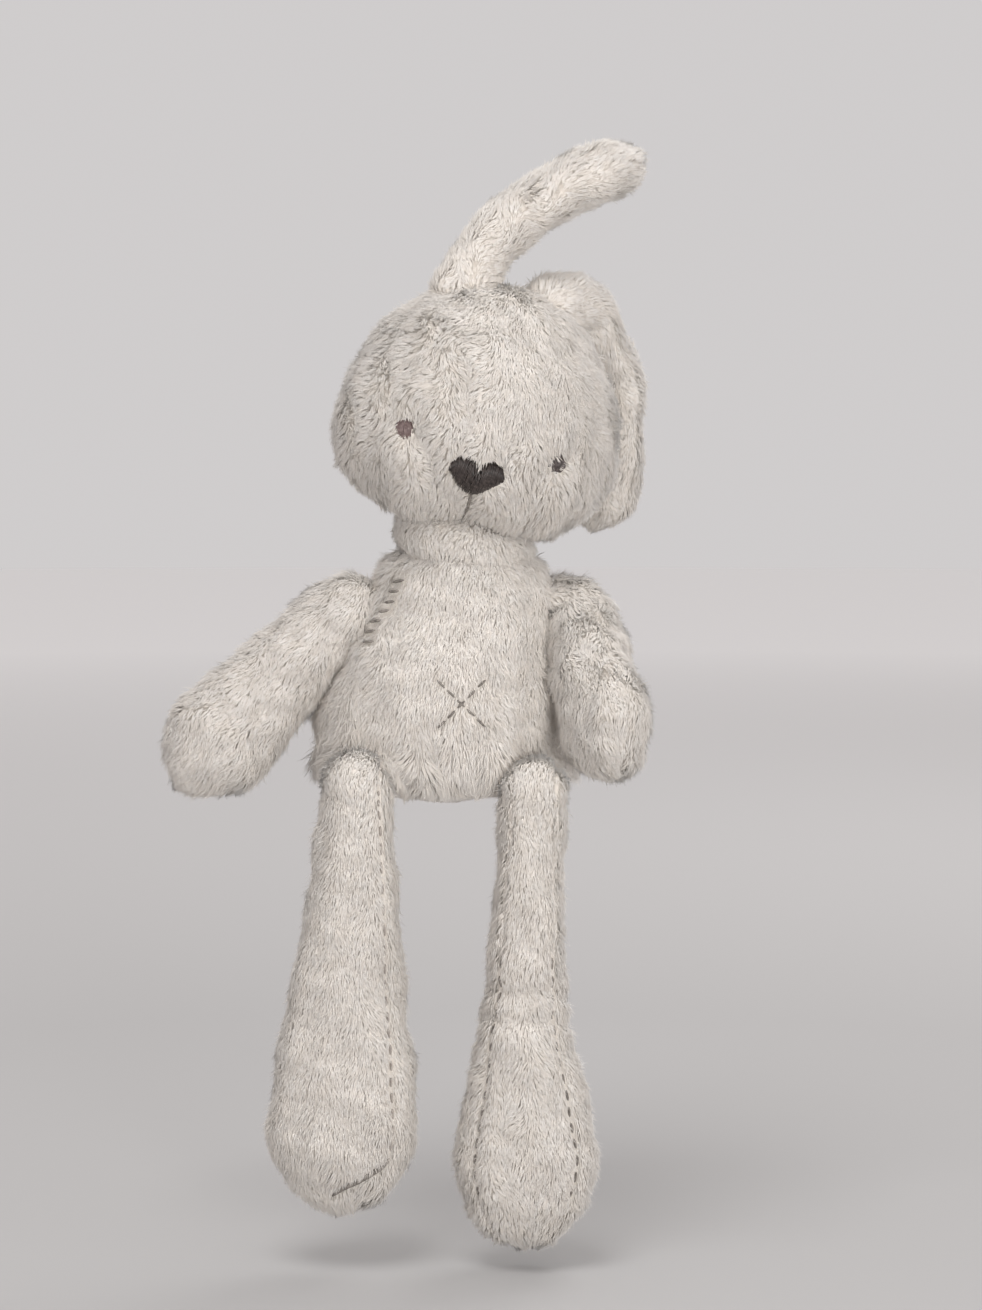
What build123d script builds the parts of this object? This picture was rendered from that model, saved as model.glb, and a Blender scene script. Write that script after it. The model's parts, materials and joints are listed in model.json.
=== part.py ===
from build123d import *
import os
from math import cos, radians, sin, sqrt

# Long-legged plush rabbit, seated on a ledge with its legs hanging in front of it.
# Millimetres. +Z is up, the face looks along -Y, and +X is on the right seen from the front.
# The origin is the middle of the flat seat. Left and right are as seen from the front.

# Cloth and clearances
SKIN = 2.0  # pile cloth, backing and flattened pile together
FILL_GAP = 0.3  # between a skin and its stuffing
JOINT_GAP = 0.5  # between a limb's round root and what it turns in
THREAD_R, THREAD_LIFT = 0.55, 0.7
LEAST_HALF = 0.6  # smallest half side of a closed end

# Torso
TORSO_HEIGHT, TORSO_WIDTH, TORSO_DEPTH = 93.0, 95.0, 78.0
SEAT_SEAM_Z = 10.0
# share of height, share of width, share of depth, centre's share of width aside
TORSO_STATIONS = [
    (0.00, 0.80, 0.68, -0.010),
    (0.03, 0.90, 0.81, -0.012),
    (0.09, 0.97, 0.91, -0.014),
    (0.20, 1.00, 0.98, -0.016),
    (0.34, 1.00, 1.00, -0.012),
    (0.48, 0.93, 0.96, 0.004),
    (0.62, 0.82, 0.87, 0.022),
    (0.76, 0.73, 0.72, 0.038),
    (0.88, 0.67, 0.58, 0.048),
    (0.96, 0.56, 0.49, 0.052),
    (1.00, 0.46, 0.44, 0.054),
]

# Neck
NECK_CENTER = Vector(5, 0, 99)
NECK_R = 21.0
NECK_SEAM_Z = 100.0

# Head, which leans to the right and looks a little to the right
HEAD_BASE = Vector(2, 0, 98.5)
HEAD_HEIGHT, HEAD_WIDTH, HEAD_DEPTH = 98.0, 107.0, 86.0
HEAD_LEAN, HEAD_YAW = 13.0, 5.5
HEAD_STATIONS = [
    (0.00, 0.34, 0.36, 0),
    (0.03, 0.52, 0.53, 0),
    (0.08, 0.71, 0.71, 0),
    (0.15, 0.87, 0.86, 0),
    (0.25, 0.97, 0.97, 0),
    (0.36, 1.00, 1.00, 0),
    (0.50, 0.98, 0.98, 0),
    (0.63, 0.91, 0.91, 0),
    (0.75, 0.80, 0.81, 0),
    (0.85, 0.66, 0.68, 0),
    (0.93, 0.48, 0.50, 0),
    (0.98, 0.28, 0.30, 0),
    (1.00, 0.12, 0.13, 0),
]
EYE_ASIDE, EYE_UP, EYE_WIDTH, EYE_HEIGHT = 28.8, 37.5, 6.6, 8.0
NOSE_UP, NOSE_WIDTH, NOSE_HEIGHT = 26.5, 19.8, 12.4
EMBROIDERY = 1.4  # how far it stands out
EYE_ROUND = 0.5
MOUTH_LENGTH = 8.0

# Ears
EAR_ASIDE, EAR_UP, EAR_ROOT_R = 16.5, 98.0, 9.5
EAR_WIDTH, EAR_THICKNESS = 32.0, 17.0
EAR_BEND_WIDTHS = {"up": 22.0, "folded": 25.0}

# Arms
ARM_LENGTH, ARM_WIDTH, ARM_DEPTH = 93.0, 40.0, 27.0
ARM_ROOT_R = 13.0
ARM_STATIONS = [
    (0.00, 0.65, 0.95, 0),
    (0.22, 0.70, 0.90, 0),
    (0.45, 0.85, 0.96, 0),
    (0.66, 0.99, 1.00, 0),
    (0.80, 1.00, 1.00, 0),
    (0.91, 0.82, 0.82, 0),
    (0.97, 0.54, 0.56, 0),
    (1.00, 0.24, 0.26, 0),
]
SHOULDER_Z = 75.0
ROOT_PATCH = 6.0  # from a shoulder's centre to the flat side of the arm's sewn-on end
SHOULDER_OUT = 0.93  # from the torso's side to a shoulder's centre, in shares of its radius

# Legs
HIP_Y, HIP_R = -40.5, 12.5
LEG_DEPTH = 31.0
GUSSET = 0.52  # share of the leg's depth that the side strips take

os.makedirs("parts", exist_ok=True)


def keep(builder, name):
    """Labels a finished piece and writes it."""
    builder.part.label = name
    export_step(builder.part, f"parts/{name}.step")


def between(stations, share, column):
    """A station value at any share of the height, on straight lines between stations."""
    for low, high in zip(stations, stations[1:]):
        if low[0] <= share <= high[0]:
            mix = (share - low[0]) / (high[0] - low[0])
            return low[column] + mix * (high[column] - low[column])
    raise ValueError(f"no station at {share}")


def in_mm(stations, length, width, depth):
    """Shares of a form's length, width and depth as millimetres: place, half width, half depth, aside."""
    return [(a * length, w * width / 2, d * depth / 2, aside * width) for a, w, d, aside in stations]


def round_start(half_width, half_depth, reach):
    """Stations of a half spheroid that ends at place 0, so a limb turns in its own place."""
    return [
        (-reach * cos(radians(turn)), half_width * sin(radians(turn)), half_depth * sin(radians(turn)), 0)
        for turn in (14, 34, 56, 74)
    ]


def inset_stations(stations, inset):
    """The same form with every side moved in."""
    first, last = stations[0][0], stations[-1][0]
    squeeze = (last - first - 2 * inset) / (last - first)
    return [
        (
            first + inset + (along - first) * squeeze,
            max(half_width - inset, LEAST_HALF),
            max(half_depth - inset, LEAST_HALF),
            aside,
        )
        for along, half_width, half_depth, aside in stations
    ]


def soft_form(plane, stations, inset=0.0):
    """A stuffed form along the plane's normal, through elliptical stations."""
    with BuildPart() as form:
        for along, half_width, half_depth, aside in inset_stations(stations, inset):
            with BuildSketch(plane.offset(along)):
                with Locations((aside, 0)):
                    Ellipse(half_width, half_depth)
        loft(ruled=True)
    return form.part


def ball(center, radius):
    with BuildPart() as round_end:
        with Locations(center):
            Sphere(radius, rotation=(0, 0, 90))
    return round_end.part


def skin_of(outer, inner, cuts=()):
    """The cloth between an outer and an inner form, open where cuts pass through it."""
    with BuildPart() as skin:
        add(outer)
        add(inner, mode=Mode.SUBTRACT)
        for cut in cuts:
            add(cut, mode=Mode.SUBTRACT)
    return skin.part


# ---------------------------------------------------------------- places


def torso_wall(height, side):
    """X of the torso's side at a height: side is -1 on the left and 1 on the right."""
    share = height / TORSO_HEIGHT
    center = between(TORSO_STATIONS, share, 3) * TORSO_WIDTH
    return center + side * between(TORSO_STATIONS, share, 1) * TORSO_WIDTH / 2


def torso_front_y(x, height):
    """Y of the torso's front at a place seen from the front."""
    share = height / TORSO_HEIGHT
    center = between(TORSO_STATIONS, share, 3) * TORSO_WIDTH
    half_width = between(TORSO_STATIONS, share, 1) * TORSO_WIDTH / 2
    half_depth = between(TORSO_STATIONS, share, 2) * TORSO_DEPTH / 2
    return -half_depth * sqrt(1 - ((x - center) / half_width) ** 2)


head_up = Vector(sin(radians(HEAD_LEAN)), 0, cos(radians(HEAD_LEAN)))
head_right = Vector(cos(radians(HEAD_LEAN)), 0, -sin(radians(HEAD_LEAN)))
head_plane = Plane(
    origin=HEAD_BASE,
    x_dir=head_right * cos(radians(HEAD_YAW)) + Vector(0, 1, 0) * sin(radians(HEAD_YAW)),
    z_dir=head_up,
)


def head_point(aside, forward, up):
    """A place in the head's own directions."""
    return head_plane.origin + head_plane.x_dir * aside - head_plane.y_dir * forward + head_up * up


def face_plane(aside, up):
    """A plane that lies on the face and looks out of it, upright in the head's own directions."""
    share = up / HEAD_HEIGHT
    half_width = between(HEAD_STATIONS, share, 1) * HEAD_WIDTH / 2
    half_depth = between(HEAD_STATIONS, share, 2) * HEAD_DEPTH / 2
    forward = half_depth * sqrt(1 - (aside / half_width) ** 2)
    outward = head_plane.x_dir * (aside / half_width**2) - head_plane.y_dir * (forward / half_depth**2)
    sideways = head_up.cross(outward.normalized())
    return Plane(origin=head_point(aside, forward, up), x_dir=sideways, z_dir=outward)


shoulder_centers = {
    "left": Vector(torso_wall(SHOULDER_Z, -1) - ARM_ROOT_R * SHOULDER_OUT, 0, SHOULDER_Z),
    "right": Vector(torso_wall(SHOULDER_Z, 1) + ARM_ROOT_R * SHOULDER_OUT, 0, SHOULDER_Z),
}
arm_directions = {"left": Vector(-0.64, -0.20, -0.74), "right": Vector(0.18, -0.69, -0.70)}
arm_roll = {"left": 0.0, "right": 62.0}
hip_centers = {"left": Vector(-32, HIP_Y, 10), "right": Vector(33, HIP_Y, 8)}
knee_heights = {"left": -62.0, "right": -66.0}
leg_ends = {"left": Vector(-40, HIP_Y, -152), "right": Vector(32, HIP_Y, -164)}
# drop below the hip as a share of the leg, width and centre aside in millimetres
leg_widths = {
    "left": [(0.0, 25, 0), (0.14, 28, 0), (0.34, 35, 0), (0.53, 45, 0), (0.68, 52, 0),
             (0.80, 54, 0), (0.89, 49, 1), (0.94, 40, 2), (0.972, 29, 2), (0.992, 16, 2), (1.0, 7, 2)],
    "right": [(0.0, 25, 0), (0.14, 25, 0), (0.33, 27, -2), (0.47, 32, -2), (0.60, 40, -2),
              (0.72, 49, -2), (0.82, 53, -1), (0.90, 47, 0), (0.945, 38, 1), (0.975, 27, 1), (0.993, 15, 1),
              (1.0, 7, 1)],
}  # fmt: skip
leg_depth_shares = [(0.0, 0.80), (0.14, 0.78), (0.34, 0.80), (0.60, 0.90), (0.80, 1.0), (0.9, 0.86),
                    (0.965, 0.58), (1.0, 0.26)]  # fmt: skip

shoulder_sockets = [ball(center, ARM_ROOT_R + JOINT_GAP) for center in shoulder_centers.values()]
hip_sockets = [ball(center, HIP_R + JOINT_GAP) for center in hip_centers.values()]
ear_centers = {"up": head_point(-EAR_ASIDE, 0, EAR_UP), "folded": head_point(EAR_ASIDE, 0, EAR_UP)}
ear_sockets = [ball(center, EAR_ROOT_R + JOINT_GAP) for center in ear_centers.values()]
neck_socket = ball(NECK_CENTER, NECK_R + JOINT_GAP)

# ---------------------------------------------------------------- torso

torso_stations = in_mm(TORSO_STATIONS, TORSO_HEIGHT, TORSO_WIDTH, TORSO_DEPTH)
torso_outer = soft_form(Plane.XY, torso_stations)
torso_inner = soft_form(Plane.XY, torso_stations, SKIN)
torso_fill = soft_form(Plane.XY, torso_stations, SKIN + FILL_GAP)
torso_skin = skin_of(torso_outer, torso_inner, shoulder_sockets + hip_sockets)
seat_seam = Plane.XY.offset(SEAT_SEAM_Z)

with BuildPart() as torso_front:
    add(torso_skin)
    split(bisect_by=seat_seam, keep=Keep.TOP)
    split(bisect_by=Plane.XZ, keep=Keep.TOP)
keep(torso_front, "torso_front")

with BuildPart() as torso_back:
    add(torso_skin)
    split(bisect_by=seat_seam, keep=Keep.TOP)
    split(bisect_by=Plane.XZ, keep=Keep.BOTTOM)
keep(torso_back, "torso_back")

with BuildPart() as seat_panel:
    add(torso_skin)
    split(bisect_by=seat_seam, keep=Keep.BOTTOM)
keep(seat_panel, "seat_panel")

with BuildPart() as torso_stuffing:
    add(torso_fill)
    for socket in shoulder_sockets + hip_sockets:
        add(socket, mode=Mode.SUBTRACT)
keep(torso_stuffing, "torso_stuffing")

# A small round tail on the back, sewn on over the seat seam
TAIL_R = 13.0
tail_center = Vector(-1, TORSO_DEPTH / 2 + TAIL_R * 0.72, 24)
with BuildPart() as tail_skin:
    with Locations(tail_center):
        Sphere(TAIL_R)
        Sphere(TAIL_R - SKIN, mode=Mode.SUBTRACT)
    add(torso_outer, mode=Mode.SUBTRACT)
keep(tail_skin, "tail_skin")

with BuildPart() as tail_stuffing:
    with Locations(tail_center):
        Sphere(TAIL_R - SKIN - FILL_GAP)
    add(torso_outer, mode=Mode.SUBTRACT)
keep(tail_stuffing, "tail_stuffing")


def thread(start, end):
    """One straight stitch between two places."""
    with BuildPart() as stitch:
        with BuildSketch(Plane(origin=start, z_dir=end - start)):
            Circle(THREAD_R)
        extrude(amount=(end - start).length)
    return stitch.part


def on_torso(x, height):
    """A place where a thread lies on the torso's front."""
    return Vector(x, torso_front_y(x, height) - THREAD_R - THREAD_LIFT, height)


# Ladder stitches close the side seam beside the left arm
LADDER_COUNT, LADDER_LOW, LADDER_HIGH = 8, 54.0, 85.0
LADDER_INWARD, LADDER_WIDTH, LADDER_RISE = 4.4, 4.2, 0.8
with BuildPart() as arm_seam_stitches:
    for number in range(LADDER_COUNT):
        height = LADDER_LOW + (LADDER_HIGH - LADDER_LOW) * number / (LADDER_COUNT - 1)
        start_x = torso_wall(height, -1) + LADDER_INWARD
        add(thread(on_torso(start_x, height), on_torso(start_x + LADDER_WIDTH, height + LADDER_RISE)))
keep(arm_seam_stitches, "arm_seam_stitches")

# Two crossing lines of stitches make the navel
NAVEL_X, NAVEL_Z, NAVEL_REACH = 6.0, 39.5, 12.0
NAVEL_STITCH, NAVEL_GAP = 4.0, 1.0
SLANT = 0.72  # how far aside and up a stitch goes for each millimetre along its line
with BuildPart() as navel_stitches:
    for slope in (1, -1):
        reach = -NAVEL_REACH
        while reach + NAVEL_STITCH <= NAVEL_REACH:
            if slope == 1 or abs(reach + NAVEL_STITCH / 2) > NAVEL_STITCH / 2 + NAVEL_GAP:
                near, far = (
                    on_torso(NAVEL_X + step * SLANT, NAVEL_Z + slope * step * SLANT)
                    for step in (reach, reach + NAVEL_STITCH)
                )
                add(thread(near, far))
            reach += NAVEL_STITCH + NAVEL_GAP
keep(navel_stitches, "navel_stitches")

# ---------------------------------------------------------------- neck

with BuildPart() as neck_form:
    with Locations(NECK_CENTER):
        Sphere(NECK_R)
    split(bisect_by=Plane.XY.offset(TORSO_HEIGHT + JOINT_GAP), keep=Keep.TOP)
with BuildPart() as neck_roll:
    add(neck_form.part)
    split(bisect_by=Plane.XY.offset(NECK_SEAM_Z), keep=Keep.BOTTOM)
    with Locations(NECK_CENTER):
        Cylinder(NECK_R - 2 * SKIN, 4 * NECK_R, mode=Mode.SUBTRACT)
keep(neck_roll, "neck_roll")

with BuildPart() as neck_stuffing:
    add(neck_form.part)
    add(neck_roll.part, mode=Mode.SUBTRACT)
keep(neck_stuffing, "neck_stuffing")

# ---------------------------------------------------------------- head

head_stations = in_mm(HEAD_STATIONS, HEAD_HEIGHT, HEAD_WIDTH, HEAD_DEPTH)
head_outer = soft_form(head_plane, head_stations)
head_inner = soft_form(head_plane, head_stations, SKIN)
head_fill = soft_form(head_plane, head_stations, SKIN + FILL_GAP)
head_skin = skin_of(head_outer, head_inner, ear_sockets + [neck_socket])
head_seam = Plane(origin=HEAD_BASE, x_dir=head_plane.x_dir, z_dir=-head_plane.y_dir)

for name, side in (("head_front", Keep.TOP), ("head_back", Keep.BOTTOM)):
    with BuildPart() as head_panel:
        add(head_skin)
        split(bisect_by=head_seam, keep=side)
    keep(head_panel, name)

with BuildPart() as head_stuffing:
    add(head_fill)
    for socket in ear_sockets + [neck_socket]:
        add(socket, mode=Mode.SUBTRACT)
keep(head_stuffing, "head_stuffing")

for name, aside in (("eye_left", -EYE_ASIDE), ("eye_right", EYE_ASIDE)):
    eye_plane = face_plane(aside, EYE_UP)
    with BuildPart() as eye:
        with BuildSketch(eye_plane):
            Ellipse(EYE_WIDTH / 2, EYE_HEIGHT / 2)
        extrude(amount=EMBROIDERY)
        fillet(eye.faces().sort_by(Axis(eye.part.center(), eye_plane.z_dir))[-1].edges(), EYE_ROUND)
        add(head_outer, mode=Mode.SUBTRACT)
    keep(eye, name)

nose_plane = face_plane(0, NOSE_UP)
nose_lobe = NOSE_WIDTH / 4
nose_dip, nose_top, nose_tip = NOSE_HEIGHT * 0.26, NOSE_HEIGHT * 0.48, -NOSE_HEIGHT * 0.52
corner_up, cheek_up = nose_dip * 0.55, -NOSE_HEIGHT * 0.16
with BuildPart() as nose:
    with BuildSketch(nose_plane):
        with BuildLine():
            for side in (1, -1):
                corner = (side * 2 * nose_lobe, corner_up)
                ThreePointArc((0, nose_dip), (side * nose_lobe, nose_top), corner)
                cheek = (side * 2 * nose_lobe, cheek_up)
                Bezier(corner, cheek, (side * nose_lobe * 0.8, nose_tip * 0.74), (0, nose_tip))
        make_face()
    extrude(amount=EMBROIDERY)
    extrude(nose.faces().sort_by(Axis(nose.part.center(), nose_plane.z_dir))[0], amount=2 * SKIN)
    add(head_outer, mode=Mode.SUBTRACT)
keep(nose, "nose")

mouth_top, mouth_bottom = NOSE_UP - NOSE_HEIGHT * 0.6, NOSE_UP - NOSE_HEIGHT * 0.6 - MOUTH_LENGTH
with BuildPart() as mouth_thread:
    mouth_steps = [mouth_top, (mouth_top + mouth_bottom) / 2, mouth_bottom]
    for high, low in zip(mouth_steps, mouth_steps[1:]):
        upper, lower = face_plane(0, high), face_plane(0, low)
        add(thread(upper.origin + upper.z_dir, lower.origin + lower.z_dir))
keep(mouth_thread, "mouth_thread")

# ---------------------------------------------------------------- ears

# Each ear's middle line from its root to its bend and on to its tip, and the direction of its width
ear_root_lines = {
    "up": [ear_centers["up"], Vector(20, 1, 214)],
    "folded": [ear_centers["folded"], Vector(46, 7.5, 195), Vector(56, 20, 187), Vector(61, 28, 165)],
}
ear_tip_lines = {
    "up": [Vector(20, 1, 214), Vector(32, 1, 226), Vector(50, 0, 236), Vector(74, 0, 243)],
    "folded": [Vector(61, 28, 165), Vector(62.5, 30.5, 150), Vector(62.5, 32.5, 134), Vector(57.5, 31, 104)],
}
ear_width_directions = {"up": Vector(-0.2, 0.96, 0.1), "folded": Vector(0.65, -0.75, -0.1)}


def band(line, stations, width_direction, inset):
    """A flattened form along a line of places."""
    with BuildLine() as route:
        if len(line) == 2:
            Line(*line)
        else:
            Spline(*line)
    wire = route.edge()
    with BuildPart() as form:
        for along, half_width, half_depth, _ in inset_stations(stations, inset):
            share = max(along, 0) / wire.length
            heading = wire % share
            place = wire @ share + heading * min(along, 0)
            flat = width_direction - heading * width_direction.dot(heading)
            with BuildSketch(Plane(origin=place, x_dir=flat, z_dir=heading)):
                Ellipse(half_width, half_depth)
        loft(ruled=True)
    return form.part


def line_length(line):
    return sum((end - start).length for start, end in zip(line, line[1:]))


def ear_thickness(width):
    """An ear is plumper where it is wide."""
    return EAR_THICKNESS * (0.45 + 0.55 * width / EAR_WIDTH)


def ear_root_stations(name):
    length = line_length(ear_root_lines[name]) - ear_thickness(EAR_BEND_WIDTHS[name]) / 2 - JOINT_GAP
    widths = (2 * EAR_ROOT_R * 0.98, (2 * EAR_ROOT_R + EAR_BEND_WIDTHS[name]) / 2, EAR_BEND_WIDTHS[name])
    middle = [
        (length * number / 2, width / 2, min(ear_thickness(width) / 2, EAR_ROOT_R), 0)
        for number, width in enumerate(widths)
    ]
    middle[0] = (0, EAR_ROOT_R, EAR_ROOT_R * 0.9, 0)
    return round_start(EAR_ROOT_R, EAR_ROOT_R, EAR_ROOT_R) + middle


def ear_tip_stations(name):
    length, first = line_length(ear_tip_lines[name]), EAR_BEND_WIDTHS[name]
    start = round_start(first / 2, ear_thickness(first) / 2, ear_thickness(first) / 2)
    widths = [(0, first), (0.28, (first + EAR_WIDTH) / 2 + 1), (0.60, EAR_WIDTH)]
    middle = [(share * length, width / 2, ear_thickness(width) / 2, 0) for share, width in widths]
    end_center = 0.80 * length
    end = [
        (
            end_center + (length - end_center) * sin(radians(turn)),
            EAR_WIDTH / 2 * cos(radians(turn)),
            EAR_THICKNESS / 2 * cos(radians(turn)),
            0,
        )
        for turn in (10, 35, 58, 78)
    ]
    return start + middle + end


for name in ("up", "folded"):
    pieces = (
        ("root", ear_root_lines[name], ear_root_stations(name)),
        ("tip", ear_tip_lines[name], ear_tip_stations(name)),
    )
    for piece_name, line, stations in pieces:
        outer, inner, fill = (
            band(line, stations, ear_width_directions[name], inset) for inset in (0, SKIN, SKIN + FILL_GAP)
        )
        with BuildPart() as ear_skin:
            add(outer)
            add(inner, mode=Mode.SUBTRACT)
        keep(ear_skin, f"ear_{name}_{piece_name}_skin")
        with BuildPart() as ear_padding:
            add(fill)
        keep(ear_padding, f"ear_{name}_{piece_name}_padding")

# ---------------------------------------------------------------- arms


def arm_plane(side):
    direction = arm_directions[side]
    across = Vector(0, 1, 0).cross(direction).rotate(Axis((0, 0, 0), direction), arm_roll[side])
    return Plane(origin=shoulder_centers[side], x_dir=across, z_dir=direction)


arm_stations = round_start(ARM_ROOT_R, ARM_ROOT_R, ARM_ROOT_R) + in_mm(
    ARM_STATIONS, ARM_LENGTH, ARM_WIDTH, ARM_DEPTH
)


def patch_plane(side):
    """The flat side of an arm's sewn-on end, looking at the arm."""
    inward = 1 if side == "left" else -1
    return Plane(origin=shoulder_centers[side] + Vector(inward * ROOT_PATCH, 0, 0), z_dir=(-inward, 0, 0))


for side in ("left", "right"):
    plane = arm_plane(side)
    patch = patch_plane(side)
    seam = Plane(origin=plane.origin, x_dir=plane.x_dir, z_dir=plane.y_dir)
    with BuildPart() as arm_root:
        with BuildSketch(patch):
            Circle(2 * ARM_ROOT_R)
        extrude(amount=-2 * ARM_ROOT_R)
        add(ball(shoulder_centers[side], ARM_ROOT_R), mode=Mode.INTERSECT)
    keep(arm_root, f"arm_{side}_root")

    skin = skin_of(soft_form(plane, arm_stations), soft_form(plane, arm_stations, SKIN))
    for name, half in (("front", Keep.TOP), ("back", Keep.BOTTOM)):
        with BuildPart() as arm_panel:
            add(skin)
            split(bisect_by=patch.offset(JOINT_GAP), keep=Keep.TOP)
            split(bisect_by=seam, keep=half)
        keep(arm_panel, f"arm_{side}_{name}")

    with BuildPart() as arm_stuffing:
        add(soft_form(plane, arm_stations, SKIN + FILL_GAP))
        split(bisect_by=patch.offset(JOINT_GAP), keep=Keep.TOP)
    keep(arm_stuffing, f"arm_{side}_stuffing")

# ---------------------------------------------------------------- legs


def leg_stations(side, whole, low, high):
    """Stations between two shares of the leg, in millimetres from the lower share."""
    marks = [mark[0] for mark in leg_widths[side] if low + 0.03 < mark[0] < high - 0.03]
    marks = [low] + marks + [high]
    return [
        (
            (mark - low) * whole,
            between(leg_widths[side], mark, 1) / 2,
            between(leg_depth_shares, mark, 1) * LEG_DEPTH / 2,
            between(leg_widths[side], mark, 2),
        )
        for mark in marks
    ]


leg_panels = {"front": (-1, -GUSSET), "gusset": (-GUSSET, GUSSET), "back": (GUSSET, 1)}
for side in ("left", "right"):
    hip, end = hip_centers[side], leg_ends[side]
    whole = (end - hip).length
    down = (end - hip).normalized()
    knee_share = (hip.Z - knee_heights[side]) / (hip.Z - end.Z)
    knee_width = between(leg_widths[side], knee_share, 1)
    knee_r = between(leg_depth_shares, knee_share, 1) * LEG_DEPTH / 2
    knee_aside = between(leg_widths[side], knee_share, 2)
    knee = hip + down * (whole * knee_share)

    upper_end = knee_share - (knee_r + JOINT_GAP) / whole
    upper_stations = round_start(HIP_R, HIP_R, HIP_R) + leg_stations(side, whole, 0.0, upper_end)
    lower_start = [
        (along, half_width, half_depth, knee_aside)
        for along, half_width, half_depth, _ in round_start(knee_width / 2, knee_r, knee_r)
    ]
    lower_stations = lower_start + leg_stations(side, whole, knee_share, 1.0)

    for stretch, origin, stations in (("upper", hip, upper_stations), ("lower", knee, lower_stations)):
        plane = Plane(origin=origin, x_dir=Vector(1, 0, 0), z_dir=down)
        skin = skin_of(soft_form(plane, stations), soft_form(plane, stations, SKIN))
        for name, (low_share, high_share) in leg_panels.items():
            low_y, high_y = (HIP_Y + share * LEG_DEPTH / 2 for share in (low_share, high_share))
            with BuildPart() as leg_panel:
                add(skin)
                with Locations((knee.X, (low_y + high_y) / 2, knee.Z)):
                    Box(4 * LEG_DEPTH, high_y - low_y, 2 * whole, mode=Mode.INTERSECT)
            keep(leg_panel, f"leg_{side}_{stretch}_{name}")
        with BuildPart() as leg_stuffing:
            add(soft_form(plane, stations, SKIN + FILL_GAP))
        keep(leg_stuffing, f"leg_{side}_{stretch}_stuffing")
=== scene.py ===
import json
import math

import bpy
import numpy as np
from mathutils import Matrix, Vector, kdtree
from mathutils.bvhtree import BVHTree


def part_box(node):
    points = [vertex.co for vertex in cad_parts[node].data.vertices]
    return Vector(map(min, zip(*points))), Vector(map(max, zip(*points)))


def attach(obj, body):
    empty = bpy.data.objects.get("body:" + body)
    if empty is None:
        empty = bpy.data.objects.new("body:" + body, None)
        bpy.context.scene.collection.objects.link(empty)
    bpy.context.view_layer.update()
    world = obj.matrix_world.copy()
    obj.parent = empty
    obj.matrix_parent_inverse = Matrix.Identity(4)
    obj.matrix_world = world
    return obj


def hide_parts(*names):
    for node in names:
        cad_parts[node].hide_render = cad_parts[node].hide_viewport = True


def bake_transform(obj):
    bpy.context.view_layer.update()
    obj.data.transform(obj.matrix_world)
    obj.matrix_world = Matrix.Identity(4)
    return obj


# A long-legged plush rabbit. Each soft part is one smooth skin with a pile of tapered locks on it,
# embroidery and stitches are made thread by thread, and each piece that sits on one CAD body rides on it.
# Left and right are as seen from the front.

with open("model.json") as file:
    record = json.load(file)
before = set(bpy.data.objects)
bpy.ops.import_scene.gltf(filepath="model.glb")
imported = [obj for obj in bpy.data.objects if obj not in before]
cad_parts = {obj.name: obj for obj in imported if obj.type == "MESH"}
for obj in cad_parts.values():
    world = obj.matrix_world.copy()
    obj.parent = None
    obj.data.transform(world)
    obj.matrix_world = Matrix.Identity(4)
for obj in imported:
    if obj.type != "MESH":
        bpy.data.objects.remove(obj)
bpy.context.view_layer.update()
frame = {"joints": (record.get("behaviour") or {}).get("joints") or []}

MM = 0.001
PILE = 2.4 * MM  # from the skin to the CAD surface
LOCK_LENGTH = 5.6 * MM
LOCK_HALF_WIDTH = 0.16 * MM
ROOT_DEPTH = 0.5 * MM  # of a lock under the skin
LOCKS_PER_MM2 = 4.2
MOST_LOCKS = 33000  # in one piece, at 6 triangles a lock
LOCKS_IN_CLUMP = 13  # that lean towards one leader
BEND_SHARE = 0.42  # of a lock's length, from its root
rng = np.random.default_rng(11)

DOWN, UP, RIGHT, FRONT, BACK = (
    np.array(way, float) for way in ((0, 0, -1), (0, 0, 1), (1, 0, 0), (0, -1, 0), (0, 1, 0))
)
joints = {joint["name"]: joint for joint in frame["joints"]}


def pivot(name):
    return np.array(joints[name]["pos_m"], float)


def mm(*place):
    return np.array(place, float) * MM


def node_box(name):
    return (np.array(corner, float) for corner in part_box(name))


# ---------------------------------------------------------------- numbers and fields


def unit(vectors):
    vectors = np.asarray(vectors, float)
    return vectors / np.maximum(np.linalg.norm(vectors, axis=-1, keepdims=True), 1e-12)


def smoothstep(low, high, value):
    share = np.clip((value - low) / (high - low), 0, 1)
    return share * share * (3 - 2 * share)


def hermite(xs, ys, at):
    """A smooth line through stations, with no overshoot between them."""
    xs, ys, at = (np.asarray(values, float) for values in (xs, ys, at))
    steps = np.diff(ys) / np.diff(xs)
    slopes = np.zeros_like(ys)
    same_way = steps[:-1] * steps[1:] > 0
    harmonic = 2 * steps[:-1] * steps[1:] / np.where(same_way, steps[:-1] + steps[1:], 1)
    slopes[1:-1] = np.where(same_way, harmonic, 0)
    slopes[0], slopes[-1] = steps[0], steps[-1]
    place = np.clip(np.searchsorted(xs, at) - 1, 0, len(xs) - 2)
    gap = xs[place + 1] - xs[place]
    t = np.clip((at - xs[place]) / gap, 0, 1)
    low, high = ys[place], ys[place + 1]
    return (
        low * (1 + 2 * t) * (1 - t) ** 2
        + slopes[place] * gap * t * (1 - t) ** 2
        + high * t * t * (3 - 2 * t)
        + slopes[place + 1] * gap * t * t * (t - 1)
    )


def waves(points, size, seed, count=7):
    """A smooth random field between about -1 and 1, whose bumps are about size across."""
    draw = np.random.default_rng(seed)
    ways = unit(draw.normal(size=(count, 3))) * draw.uniform(0.6, 1.5, (count, 1))
    phases = draw.uniform(0, 2 * math.pi, count)
    return np.sin(points @ ways.T * (math.pi / size) + phases).sum(-1) / math.sqrt(count)


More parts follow.
